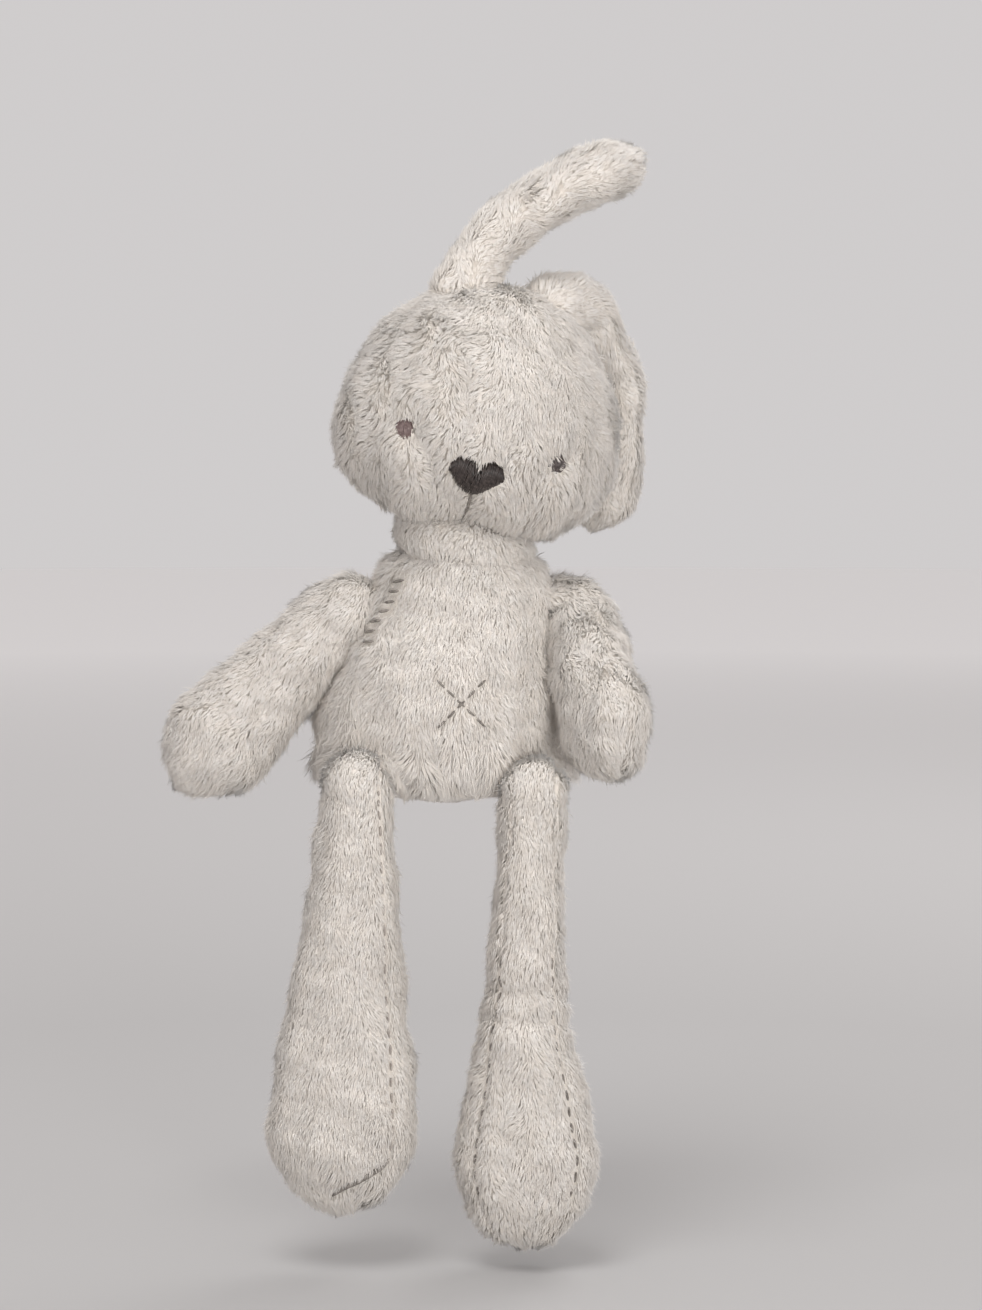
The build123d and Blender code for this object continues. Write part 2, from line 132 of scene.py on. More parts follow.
def near(points, place, radius):
    """1 at a place, falling smoothly to 0 at a radius from it."""
    return 1 - smoothstep(0, radius, np.linalg.norm(points - place, axis=-1))


# ---------------------------------------------------------------- soft forms


def show(name, mesh):
    piece = bpy.data.objects.new(name, mesh)
    bpy.context.scene.collection.objects.link(piece)
    return piece


class Form:
    """A closed soft skin as a grid: rows run along it and columns run round it."""

    def __init__(self, points, shares, angles):
        self.points, self.shares, self.angles = points, shares, angles

    def along(self):
        return unit(np.gradient(self.points, axis=0))

    def normals(self):
        wrapped = np.concatenate([self.points[:, -1:], self.points, self.points[:, :1]], 1)
        normals = np.cross(wrapped[:, 2:] - wrapped[:, :-2], np.gradient(self.points, axis=0))
        start = self.points[0].mean(0) - self.points[2].mean(0)
        end = self.points[-1].mean(0) - self.points[-3].mean(0)
        normals[0], normals[-1] = start, end
        return unit(normals)

    def push(self, amount):
        """Moves each point out by amount(points, shares, angles)."""
        shares = np.repeat(self.shares[:, None], len(self.angles), 1)
        angles = np.repeat(self.angles[None], len(self.shares), 0)
        self.points = self.points + self.normals() * amount(self.points, shares, angles)[..., None]

    def faces(self):
        """Vertices and faces, with the rows at both ends drawn in to single points."""
        rows, columns = self.points.shape[:2]
        middle = self.points[1:-1].reshape(-1, 3)
        vertices = np.concatenate([middle, self.points[:1].mean(1), self.points[-1:].mean(1)])
        first, last, top = len(middle), len(middle) + 1, (rows - 3) * columns
        faces = []
        for column in range(columns):
            after = (column + 1) % columns
            for row in range(0, top, columns):
                faces.append((row + column, row + after, row + columns + after, row + columns + column))
            faces.append((first, after, column))
            faces.append((last, top + column, top + after))
        return vertices, faces

    def mesh(self, name):
        vertices, faces = self.faces()
        mesh = bpy.data.meshes.new(name)
        mesh.from_pydata(vertices.tolist(), [], faces)
        mesh.polygons.foreach_set("use_smooth", np.ones(len(faces), bool))
        mesh.update()
        return show(name, mesh)

    def tree(self):
        vertices, faces = self.faces()
        return BVHTree.FromPolygons([Vector(vertex) for vertex in vertices], faces)

    def at(self, share, angle, lift=0.0):
        """A place on the form, at a share of its rows and an angle round it."""
        row = np.interp(share, self.shares, np.arange(len(self.shares)))
        column = (angle % (2 * math.pi)) / (2 * math.pi) * len(self.angles)
        low_row, low_column = min(int(row), len(self.shares) - 2), int(column)
        down, over = row - low_row, column - low_column
        high_column = (low_column + 1) % len(self.angles)
        low_column %= len(self.angles)

        def mixed(grid):
            upper = grid[low_row, low_column] * (1 - over) + grid[low_row, high_column] * over
            lower = grid[low_row + 1, low_column] * (1 - over) + grid[low_row + 1, high_column] * over
            return upper * (1 - down) + lower * down

        return mixed(self.points) + unit(mixed(self.normals())) * lift


def line_through(points, at):
    """Places and headings on a smooth line, at shares of its length."""
    points = np.asarray(points, float)
    marks = np.concatenate([[0], np.cumsum(np.linalg.norm(np.diff(points, axis=0), axis=1))])
    marks /= marks[-1]

    def place(share):
        return np.stack([hermite(marks, points[:, axis], share) for axis in range(3)], 1)

    ahead, behind = np.minimum(at + 0.02, 1), np.maximum(at - 0.02, 0)
    return place(at), unit(place(ahead) - place(behind))


def soft_form(path, across, stations, start_round, end_round, rows=80, columns=96, power=2.0, level=None):
    """A skin through stations (share of the path, half width, half depth), closed round over a
    reach at both ends. across is the way its width runs. level keeps every ring square to it."""
    path = np.asarray(path, float)
    length = np.linalg.norm(np.diff(path, axis=0), axis=1).sum()
    shares = (1 - np.cos(np.pi * np.linspace(0, 1, rows))) / 2
    centers, headings = line_through(path, shares)
    if level is not None:
        headings = np.repeat(unit(level)[None], rows, 0)
    places, half_widths, half_depths = np.array(stations, float).T
    width = hermite(places, half_widths, shares)
    depth = hermite(places, half_depths, shares)
    closing = np.ones(rows)
    for reach, way in ((start_round, shares * length), (end_round, (1 - shares) * length)):
        short = 1 - np.clip(way / reach, 0, 1)
        closing *= (1 - short**power) ** (1 / power)
    right = unit(across - headings * (headings @ np.asarray(across, float))[:, None])
    deep = np.cross(headings, right)
    angles = np.linspace(0, 2 * math.pi, columns, endpoint=False)
    points = (
        centers[:, None]
        + right[:, None] * (np.cos(angles)[None] * (width * closing)[:, None])[..., None]
        + deep[:, None] * (np.sin(angles)[None] * (depth * closing)[:, None])[..., None]
    )
    return Form(points, shares, angles)


def apart(angles, seam):
    """How far angles are from a seam's angle, in radians."""
    return np.abs((angles - seam + math.pi) % (2 * math.pi) - math.pi)


# ---------------------------------------------------------------- materials


def material(name, color, roughness=0.9, sheen=0.0):
    made = bpy.data.materials.new(name)
    made.use_nodes = True
    shader = made.node_tree.nodes["Principled BSDF"]
    shader.inputs["Base Color"].default_value = (*color, 1)
    shader.inputs["Roughness"].default_value = roughness
    shader.inputs["Sheen Weight"].default_value = sheen
    return made


def mottled(made, low, high, size, bump=0.0):
    """Colour that varies over the surface, with a fine bump of the same size."""
    tree = made.node_tree
    shader = tree.nodes["Principled BSDF"]
    place = tree.nodes.new("ShaderNodeTexCoord")
    noise = tree.nodes.new("ShaderNodeTexNoise")
    noise.inputs["Scale"].default_value = 1 / size
    noise.inputs["Detail"].default_value = 4
    ramp = tree.nodes.new("ShaderNodeValToRGB")
    first, last = ramp.color_ramp.elements
    first.position, last.position = 0.34, 0.66
    first.color, last.color = (*low, 1), (*high, 1)
    tree.links.new(place.outputs["Object"], noise.inputs["Vector"])
    tree.links.new(noise.outputs["Fac"], ramp.inputs["Fac"])
    tree.links.new(ramp.outputs["Color"], shader.inputs["Base Color"])
    if bump:
        raised = tree.nodes.new("ShaderNodeBump")
        raised.inputs["Distance"].default_value = bump
        raised.inputs["Strength"].default_value = 0.6
        tree.links.new(noise.outputs["Fac"], raised.inputs["Height"])
        tree.links.new(raised.outputs["Normal"], shader.inputs["Normal"])
    return made


# The first tint goes on the root half of every lock and is darker: painted shade where the locks crowd at
# their roots. The other three differ at random from clump to clump.
pile_tints = [
    material("pile_root_painted_shade", (0.92, 0.855, 0.775), 0.95),
    material("pile_cream", (0.955, 0.895, 0.825), 0.8, 0.3),
    material("pile_ivory", (0.965, 0.915, 0.855), 0.8, 0.3),
    material("pile_oat", (0.935, 0.865, 0.785), 0.8, 0.3),
]
backing = mottled(
    material("backing", (0.7, 0.6, 0.5)), (0.80, 0.73, 0.65), (0.90, 0.84, 0.77), 4 * MM, bump=0.6 * MM
)
# Both eyes are sewn in one thread. The left eye's browns are paler partly for the sheen on its satin,
# painted highlight; the right eye's darker copy below is the same thread painted in shade.
eye_silk = mottled(
    material("eye_thread", (0.2, 0.1, 0.1), 0.4), (0.13, 0.085, 0.08), (0.27, 0.20, 0.19), 1.2 * MM
)
eye_silk_painted_shade = mottled(
    material("eye_silk_painted_shade", (0.1, 0.1, 0.1), 0.4), (0.04, 0.03, 0.028), (0.13, 0.105, 0.10), 1.2 * MM
)
# The nose thread's paler spots partly stand for the glints along its stitches, painted highlight, over the
# thread's own uneven dark tone.
nose_silk = mottled(
    material("nose_thread", (0, 0, 0), 0.38), (0.022, 0.016, 0.014), (0.075, 0.058, 0.052), 1 * MM
)
dark_thread = mottled(
    material("dark_thread", (0, 0, 0), 0.7), (0.13, 0.115, 0.10), (0.30, 0.27, 0.24), 1.5 * MM
)
# The left leg's seam thread, darkened to a grey-brown so that its seam reads as a dark line: the thread's
# own colour with painted shade of the seam's gap in it.
pale_thread = mottled(
    material("pale_thread", (0, 0, 0), 0.7), (0.34, 0.30, 0.27), (0.54, 0.49, 0.44), 1.5 * MM
)


# ---------------------------------------------------------------- pieces


def carry(piece, body):
    """A piece rides on one body. Given two bodies, (first, second, start, end), its place is only applied to
    its mesh.
    """
    if isinstance(body, str):
        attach(piece, body)
    else:
        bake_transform(piece)


def dressed(form, name, body, *nodes):
    """The skin of a form, in place of its CAD nodes."""
    piece = form.mesh(name)
    piece.data.materials.append(backing)
    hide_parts(*nodes)
    carry(piece, body)


def polygons(name, vertices, corners, sizes, slots=None, materials=()):
    """A mesh from numpy arrays: corners of all faces in a row, and how many each face has."""
    mesh = bpy.data.meshes.new(name)
    mesh.vertices.add(len(vertices))
    mesh.loops.add(len(corners))
    mesh.polygons.add(len(sizes))
    mesh.vertices.foreach_set("co", vertices.ravel())
    mesh.loops.foreach_set("vertex_index", corners.astype(np.int32))
    starts = np.concatenate([[0], np.cumsum(sizes)[:-1]])
    mesh.polygons.foreach_set("loop_start", starts.astype(np.int32))
    mesh.polygons.foreach_set("loop_total", sizes.astype(np.int32))
    for entry in materials:
        mesh.materials.append(entry)
    if slots is not None:
        mesh.polygons.foreach_set("material_index", slots.astype(np.int32))
    mesh.polygons.foreach_set("use_smooth", np.ones(len(sizes), bool))
    mesh.update(calc_edges=True)
    return show(name, mesh)


def threads(name, lines, radius, look, slot, body, *nodes, sides=6, taper=0.45):
    """Closed round threads along lines of points, a little thinner at both ends."""
    vertices, corners, sizes = [], [], []
    turns = np.linspace(0, 2 * math.pi, sides, endpoint=False)
    count = 0
    for line in lines:
        line = np.asarray(line, float)
        heading = unit(np.gradient(line, axis=0))
        aside = unit(np.cross(heading, FRONT + 0.3 * UP))
        other = np.cross(heading, aside)
        share = np.linspace(0, 1, len(line))
        size = radius * (1 - (1 - taper) * np.abs(2 * share - 1) ** 6)
        ring = aside[:, None] * np.cos(turns)[None, :, None] + other[:, None] * np.sin(turns)[None, :, None]
        vertices.append((line[:, None] + ring * size[:, None, None]).reshape(-1, 3))
        for row in range(len(line) - 1):
            low, high = count + row * sides, count + (row + 1) * sides
            for side in range(sides):
                after = (side + 1) % sides
                corners += [low + side, low + after, high + after, high + side]
                sizes.append(4)
        corners += list(range(count + sides - 1, count - 1, -1))
        corners += list(range(count + (len(line) - 1) * sides, count + len(line) * sides))
        sizes += [sides, sides]
        count += len(line) * sides
    piece = polygons(name, np.concatenate(vertices), np.array(corners), np.array(sizes), materials=[look])
    if nodes:
        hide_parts(*nodes)
    carry(piece, body)


# ---------------------------------------------------------------- pile


def scatter(form, per_mm2, keep):
    """Places spread evenly over a form: points, normals, ways along it, row shares, angles."""
    closed = [np.concatenate([grid, grid[:, :1]], 1) for grid in (form.points, form.normals(), form.along())]
    grid = closed[0]
    areas = np.linalg.norm(np.cross(grid[1:, :-1] - grid[:-1, :-1], grid[:-1, 1:] - grid[:-1, :-1]), axis=-1)
    if keep is not None:
        areas = areas * keep(grid[:-1, :-1])
    count = int(areas.sum() / MM**2 * per_mm2)
    cell = rng.choice(areas.size, count, p=areas.ravel() / areas.sum())
    row, column = np.unravel_index(cell, areas.shape)
    down, over = rng.random((2, count, 1))

    def mix(values):
        low = values[row, column] * (1 - over) + values[row, column + 1] * over
        high = values[row + 1, column] * (1 - over) + values[row + 1, column + 1] * over
        return low * (1 - down) + high * down

    shares = form.shares[row] * (1 - down[:, 0]) + form.shares[row + 1] * down[:, 0]
    angles = form.angles[column] + over[:, 0] * form.angles[1]
    return mix(closed[0]), unit(mix(closed[1])), unit(mix(closed[2])), shares, angles


def nearest(points, targets):
    """For each point, which target is nearest and how far it is."""
    tree = kdtree.KDTree(len(targets))
    for number, target in enumerate(targets):
        tree.insert(target, number)
    tree.balance()
    found = [tree.find(point) for point in points]
    return np.array([hit[1] for hit in found]), np.array([hit[2] for hit in found])


def even(amount):
    """A field that is the same everywhere."""
    return lambda at: np.full(len(at), amount)


def pile(
    form, name, body, ruffle, flow=1.0, drift=(0, 0, 0), length=even(1.0), keep=None, seams=(), clear=()
):
    """Locks of pile on a form. They lie along it (flow 1, or -1 towards its start) and with a
    drift. length and ruffle are fields: ruffle is 0 where locks lie smooth and 1 in tufts.
    Locks are short near seams, which are angles round the form, and near the points of each
    (points, radius) in clear."""
    roots, normals, along, shares, angles = scatter(form, LOCKS_PER_MM2, keep)
    count = len(roots)
    rough = np.clip(ruffle(roots), 0, 1)
    lie = along * flow + np.asarray(drift, float)
    lie = unit(lie - normals * (lie * normals).sum(1, keepdims=True))
    side = np.cross(normals, lie)
    swirl = (0.15 + 0.75 * rough) * waves(roots, 9 * MM, 3) + rng.normal(0, 0.2, count)
    lie = unit(lie * np.cos(swirl)[:, None] + side * np.sin(swirl)[:, None])
    long = LOCK_LENGTH * length(roots) * rng.uniform(0.78, 1.18, count)
    long = long * (1 + 0.12 * waves(roots, 6 * MM, 5))
    middles = form.points.mean(1)[np.clip(np.searchsorted(form.shares, shares), 0, len(form.shares) - 1)]
    radius = np.linalg.norm(roots - middles, axis=1)
    for seam in seams:
        long *= 0.4 + 0.6 * smoothstep(0.3 * MM, 2.4 * MM, apart(angles, seam) * radius)
    lower_rise = 34 + 30 * rough + 8 * waves(roots, 5 * MM, 8)
    upper_rise = 6 + 26 * rough + 9 * waves(roots, 4 * MM, 9)
    unruly = rng.normal(0, 0.15, (2, count))
    upright = 0.7 * (rng.random(count) < 0.03 + 0.10 * rough)
    rise = np.radians([lower_rise, upper_rise]) + unruly + upright

    def bent():
        """Where each lock bends, and where it ends."""
        lower, upper = (lie * np.cos(lift)[:, None] + normals * np.sin(lift)[:, None] for lift in rise)
        bends = roots + lower * (long * BEND_SHARE)[:, None]
        return bends, bends + upper * (long * (1 - BEND_SHARE))[:, None]

    for points, room in clear:
        off = np.minimum(*(nearest(ends, points)[1] for ends in bent()))
        long *= 0.2 + 0.8 * smoothstep(0.3 * room, room, off)
    bends, tips = bent()
    leaders = rng.choice(count, max(count // LOCKS_IN_CLUMP, 1), replace=False)
    leader, off = nearest(roots, roots[leaders])
    hold = (0.04 + 0.5 * rough) * (1 - smoothstep(1.2 * MM, 3.2 * MM, off))
    ahead = tips[leaders[leader]] - tips
    tips = tips + ahead * hold[:, None]
    bends = bends + ahead * (hold * 0.35)[:, None]
    tints = rng.integers(0, 3, len(leaders))[leader]
    stray = rng.random(count) < 0.3
    tints[stray] = rng.integers(0, 3, stray.sum())
    groups = np.array_split(np.argsort(shares, kind="stable"), max(1, math.ceil(count / MOST_LOCKS)))
    for number, group in enumerate(groups):
        suffix = f"_{number + 1}" if len(groups) > 1 else ""
        piece = locks(name + suffix, roots[group], bends[group], tips[group], normals[group], tints[group])
        carry(piece, body)
    print(name, count, "locks")


def locks(name, roots, bends, tips, normals, tints):
    """Closed three-sided locks from a point under the skin, widest at the bend, to a point."""
    count = len(roots)
    heading = unit(tips - roots)
    side = unit(np.cross(heading, normals))
    crown = np.cross(side, heading)
    wide = LOCK_HALF_WIDTH * rng.uniform(0.7, 1.3, count)[:, None]
    vertices = np.empty((count, 5, 3))
    vertices[:, 0] = roots - normals * ROOT_DEPTH
    vertices[:, 1] = bends + side * wide
    vertices[:, 2] = bends + crown * wide * 0.8
    vertices[:, 3] = bends - side * wide
    vertices[:, 4] = tips
    corners = np.array([0, 1, 2, 0, 2, 3, 0, 3, 1, 1, 4, 2, 2, 4, 3, 3, 4, 1])
    # the root half of each lock takes the darker first tint, painted shade; the half towards the tip takes
    # its clump's tint
    slots = (np.array([0, 0, 0, 1, 1, 1])[None] * (1 + tints[:, None])).ravel()
    everywhere = (corners[None] + 5 * np.arange(count)[:, None]).ravel()
    piece = polygons(name, vertices.reshape(-1, 3), everywhere, np.full(6 * count, 3), slots, pile_tints)
    lit = normals[:, None] + 0.6 * unit(vertices - (roots + bends)[:, None] / 2)
    piece.data.normals_split_custom_set_from_vertices(unit(lit).reshape(-1, 3))
    return piece


# ---------------------------------------------------------------- torso and neck

panel_low, panel_high = node_box("torso_front")
TORSO_WIDE = (panel_high[0] - panel_low[0]) / 2 - PILE
TORSO_DEEP = -panel_low[1] - PILE
torso = soft_form(
    [mm(-1, 0, 2), mm(-1.5, 0, 30), mm(2, 0, 57), mm(5, 0, 78), mm(6, 0, 96)],
    RIGHT,
    [
        (0.00, 0.93 * TORSO_WIDE, 0.86 * TORSO_DEEP),
        (0.12, 1.00 * TORSO_WIDE, 0.99 * TORSO_DEEP),
        (0.30, 1.02 * TORSO_WIDE, 1.05 * TORSO_DEEP),
        (0.46, 0.95 * TORSO_WIDE, 0.98 * TORSO_DEEP),
        (0.60, 0.84 * TORSO_WIDE, 0.88 * TORSO_DEEP),
        (0.74, 0.77 * TORSO_WIDE, 0.74 * TORSO_DEEP),
        (0.87, 0.70 * TORSO_WIDE, 0.64 * TORSO_DEEP),
        (1.00, 0.58 * TORSO_WIDE, 0.56 * TORSO_DEEP),
    ],
    9 * MM,
    9 * MM,
    rows=96,
    columns=132,
    power=2.6,
    level=UP,
)
SEAT_SEAM_Z = 10 * MM
torso.push(
    lambda at, shares, angles: 0.9 * MM * waves(at, 16 * MM, 21)
    + 0.5 * MM * waves(at, 7 * MM, 22)
    - 1.6 * MM * np.exp(-(((at[..., 2] - SEAT_SEAM_Z) / (2.0 * MM)) ** 2))
)
dressed(torso, "torso_skin", "torso", "torso_front", "torso_back", "seat_panel", "torso_stuffing")
torso_tree = torso.tree()


def on_torso(x, z, lift):
    """A place over the torso's front, seen from the front."""
    place, normal, _, _ = torso_tree.ray_cast(Vector((x, -0.2, z)), Vector((0, 1, 0)))
    return np.array(place) + np.array(normal) * lift


NECK = pivot("head_turn")
neck = soft_form(
    [NECK + mm(0, 1, -11), NECK + mm(2, 0, -1), NECK + mm(5, 0, 10)],
    RIGHT,
    [(0, 22 * MM, 20 * MM), (0.5, 25 * MM, 23.5 * MM), (1, 22 * MM, 20 * MM)],
    8 * MM,
    8 * MM,
    rows=40,
)
dressed(neck, "neck_skin", "neck", "neck_roll", "neck_stuffing")

# ---------------------------------------------------------------- head

HEAD_LEAN, HEAD_YAW = math.radians(13), math.radians(5.5)
head_up = np.array([math.sin(HEAD_LEAN), 0, math.cos(HEAD_LEAN)])
level_right = np.array([math.cos(HEAD_LEAN), 0, -math.sin(HEAD_LEAN)])
head_right = level_right * math.cos(HEAD_YAW) + BACK * math.sin(HEAD_YAW)
head_front = -np.cross(head_up, head_right)
HEAD_BASE = mm(2, 0, 98.5)
HEAD_WIDE, HEAD_DEEP = 53.5 * MM - PILE, 43 * MM - PILE


def head_place(aside, front, up):
    return HEAD_BASE + head_right * aside * MM + head_front * front * MM + head_up * up * MM


head = soft_form(
    [head_place(0, 0, 5.5), head_place(0, 0, 96)],
    head_right,
    [
        (0.0, 1.00 * HEAD_WIDE, 1.00 * HEAD_DEEP),
        (0.34, 1.01 * HEAD_WIDE, 1.00 * HEAD_DEEP),
        (0.55, 0.99 * HEAD_WIDE, 0.99 * HEAD_DEEP),
        (1.0, 0.96 * HEAD_WIDE, 0.97 * HEAD_DEEP),
    ],
    32 * MM,
    60 * MM,
    rows=110,
    columns=150,
    power=2.15,
)
EYES = {"left": (-28.8, 37.5), "right": (28.8, 37.5)}
EYE_WIDTH, EYE_HEIGHT = 6.6, 8.0
NOSE_UP, NOSE_WIDTH, NOSE_HEIGHT = 26.5, 19.8, 12.4
dents = [head_place(aside, 36, up) for aside, up in EYES.values()]
head.push(
    lambda at, shares, angles: 0.9 * MM * waves(at, 18 * MM, 31)
    + 0.4 * MM * waves(at, 7 * MM, 32)
    - sum(2.2 * MM * near(at, dent, 13 * MM) for dent in dents)
)
dressed(head, "head_skin", "head", "head_front", "head_back", "head_stuffing")
head_tree = head.tree()


def on_face(aside, up, lift=0.0):
    """A place over the face, at millimetres aside and up in the head's own directions."""
    start = head_place(aside, 120, up)
    place, normal, _, _ = head_tree.ray_cast(Vector(start), Vector(-head_front))
    return np.array(place) + np.array(normal) * lift * MM


# ---------------------------------------------------------------- embroidery


def satin(name, center, width, top, bottom, look, slot, node, lean=0.0, base=1.2, crown=1.6):
    """Satin stitches side by side over a padded shape. top and bottom give its outline in
    millimetres over the center, at -1 on its left to 1 on its right."""
    aside, up = center
    layers = {
        "padding": (0.5, 0.85, base, -lean, ()),
        "stitches": (0.25, 0.40, base + 0.5, lean, (node,)),
    }
    for part, (radius, spacing, lift, slant, nodes) in layers.items():
        lines = []
        for across in np.arange(-width / 2 + radius, width / 2 - radius + 0.01, spacing):
            place = across / (width / 2)
            ends = np.array([bottom(place) + radius * 0.6, top(place) - radius * 0.6])
            ends += rng.normal(0, 0.16, 2)
            rise = crown * math.sqrt(max(0.0, 1 - place**2))
            lean_over = rng.normal(slant, 0.03)
            line = []
            for share in np.linspace(0, 1, 9):
                height = ends[0] + share * (ends[1] - ends[0])
                arch = math.sin(math.pi * share)
                over = lift + rise * math.sqrt(arch) - 0.8 * (1 - arch)
                line.append(on_face(aside + across + lean_over * (height - ends.mean()), up + height, over))
            lines.append(line)
        threads(f"{name}_{part}", lines, radius * MM, look, slot, "head", *nodes)


def heart_top(place):
    return NOSE_HEIGHT * (0.06 + 0.48 * math.sqrt(max(0.0, 1 - ((abs(place) - 0.5) / 0.5) ** 2)))


def heart_bottom(place):
    return NOSE_HEIGHT * (-0.56 + 0.58 * abs(place) ** 1.5)


def oval(place):
    return EYE_HEIGHT / 2 * math.sqrt(max(0.0, 1 - place**2))


def oval_under(place):
    return -oval(place)


satin(
    "nose", (0, NOSE_UP), NOSE_WIDTH, heart_top, heart_bottom, nose_silk, "nose_thread", "nose", lean=0.10
)
# the right eye takes the darker copy of the thread: painted shade
eye_silks = {"left": eye_silk, "right": eye_silk_painted_shade}
for side, eye in EYES.items():
    name, silk = f"eye_{side}", eye_silks[side]
    satin(name, eye, EYE_WIDTH, oval, oval_under, silk, "eye_thread", name, base=0.6, crown=1.0)
MOUTH_TOP, MOUTH_LENGTH = NOSE_UP - 0.45 * NOSE_HEIGHT, 9
mouth_line = [
    on_face(0.3 * math.sin(step * 3), MOUTH_TOP - MOUTH_LENGTH * step, 1.6) for step in np.linspace(0, 1, 9)
]
threads("mouth_line", [mouth_line], 0.5 * MM, dark_thread, "mouth_thread", "head", "mouth_thread")

# the places that the pile keeps clear of
nose_points = [
    on_face(x, NOSE_UP + y, 2)
    for x in np.arange(-9, 9.1, 1.5)
    for y in np.arange(-5.5, 5.6, 1.5)
    if heart_bottom(x * 2 / NOSE_WIDTH) <= y <= heart_top(x * 2 / NOSE_WIDTH)
]
eye_points = {
    side: [on_face(aside + x, up + y, 2) for x in (-2, 0, 2) for y in (-3, -1, 1, 3)]
    for side, (aside, up) in EYES.items()
}

# ---------------------------------------------------------------- ears

EAR_HALF_WIDTH, EAR_HALF_DEPTH = 16 * MM - PILE * 0.4, 8.5 * MM
EAR_BEND_REACH = 9 * MM  # of a blend, each way from the bend
ear_joints = {"up": ("ear_up_sway", "ear_up_bend"), "folded": ("ear_folded_lift", "ear_folded_bend")}
ear_pivots = {name: (pivot(root), pivot(bend)) for name, (root, bend) in ear_joints.items()}
up_root, up_bend = ear_pivots["up"]
folded_root, folded_bend = ear_pivots["folded"]
ear_lines = {  # the points up to the one at the bend, and the points after it
    "up": (
        [up_root + mm(-5, 0, -12), up_root + (up_bend - up_root) * 0.45, up_bend],
        [mm(32.5, 1, 224), mm(50.5, 0, 234), mm(72.5, 0, 240.5)],
    ),
    "folded": (
        [
            folded_root + mm(-4, -3, -8),
            mm(44.5, 7.5, 188.5),
            mm(52.5, 14, 185.5),
            folded_bend + mm(-1, -2, 2),
        ],
        [mm(60.5, 27.5, 168), mm(62.5, 30.5, 150), mm(62, 32.5, 134), mm(57, 31.2, 103.5)],
    ),
}
ear_across = {"up": (-0.2, 0.96, 0.1), "folded": (0.65, -0.75, -0.1)}
ears = {}
for name, (below, beyond) in ear_lines.items():
    root, bend = ear_pivots[name]
    form = soft_form(
        [*below, *beyond],
        ear_across[name],
        [
            (0.0, 0.66 * EAR_HALF_WIDTH, 1.20 * EAR_HALF_DEPTH),
            (0.16, 0.72 * EAR_HALF_WIDTH, 1.12 * EAR_HALF_DEPTH),
            (0.32, 0.80 * EAR_HALF_WIDTH, 1.00 * EAR_HALF_DEPTH),
            (0.55, 0.96 * EAR_HALF_WIDTH, 0.98 * EAR_HALF_DEPTH),
            (0.80, 1.04 * EAR_HALF_WIDTH, 1.06 * EAR_HALF_DEPTH),
            (1.0, 0.90 * EAR_HALF_WIDTH, 0.98 * EAR_HALF_DEPTH),
        ],
        6 * MM,
        14 * MM,
        rows=84,
        columns=72,
    )
    form.push(lambda at, shares, angles: 0.5 * MM * waves(at, 9 * MM, 41) + 0.3 * MM * waves(at, 4 * MM, 42))
    reach = unit(beyond[0] - root) * EAR_BEND_REACH
    blend = (f"ear_{name}_root", f"ear_{name}_tip", bend - reach, bend + reach)
    ears[name] = (form, blend)
    nodes = [f"ear_{name}_{part}_{layer}" for part in ("root", "tip") for layer in ("skin", "padding")]
    dressed(form, f"ear_{name}_skin", blend, *nodes)

# ---------------------------------------------------------------- arms

ARM_HALF_WIDTH, ARM_HALF_DEPTH = 20 * MM - PILE * 0.8, 13.5 * MM - PILE * 0.4
arm_lengths = {"left": 88.5 * MM, "right": 81 * MM}
arm_ways = {"left": unit((-0.64, -0.20, -0.74)), "right": unit((0.18, -0.69, -0.70))}
arm_rolls = {"left": 0.0, "right": math.radians(62)}
arm_starts = {"left": mm(15, 2, 6), "right": mm(-15, 2, 3)}  # from a shoulder's centre, inside the torso
arm_sags = {"left": mm(3, 0, -4), "right": mm(-3, 0, -4)}  # where the cloth hangs under that centre
arms = {}
for side, way in arm_ways.items():
    shoulder, reach = pivot(f"arm_{side}_swing"), arm_lengths[side]
    across = unit(np.cross(BACK, way))
    across = across * math.cos(arm_rolls[side]) + np.cross(way, across) * math.sin(arm_rolls[side])
    form = soft_form(
        [
            shoulder + arm_starts[side],
            shoulder + arm_sags[side],
            shoulder + arm_sags[side] * 0.4 + way * reach / 2,
            shoulder + way * reach,
        ],
        across,
        [
            (0.0, 0.56 * ARM_HALF_WIDTH, 0.90 * ARM_HALF_DEPTH),
            (0.18, 0.72 * ARM_HALF_WIDTH, 1.00 * ARM_HALF_DEPTH),
            (0.36, 0.84 * ARM_HALF_WIDTH, 1.00 * ARM_HALF_DEPTH),
            (0.54, 0.92 * ARM_HALF_WIDTH, 1.00 * ARM_HALF_DEPTH),
            (0.70, 1.00 * ARM_HALF_WIDTH, 1.03 * ARM_HALF_DEPTH),
            (0.84, 1.05 * ARM_HALF_WIDTH, 1.05 * ARM_HALF_DEPTH),
            (1.0, 0.96 * ARM_HALF_WIDTH, 1.00 * ARM_HALF_DEPTH),
        ],
        14 * MM,
        24 * MM,
        rows=96,
        columns=90,
    )
    form.push(
        lambda at, shares, angles: 0.7 * MM * waves(at, 12 * MM, 51)
        + 0.4 * MM * waves(at, 6 * MM, 52)
        - 0.7 * MM * sum(np.exp(-((apart(angles, seam) / 0.07) ** 2)) for seam in (0, math.pi))
    )
    arms[side] = form
    nodes = [f"arm_{side}_{part}" for part in ("root", "front", "back", "stuffing")]
    dressed(form, f"arm_{side}_skin", f"arm_{side}", *nodes)

# ---------------------------------------------------------------- legs

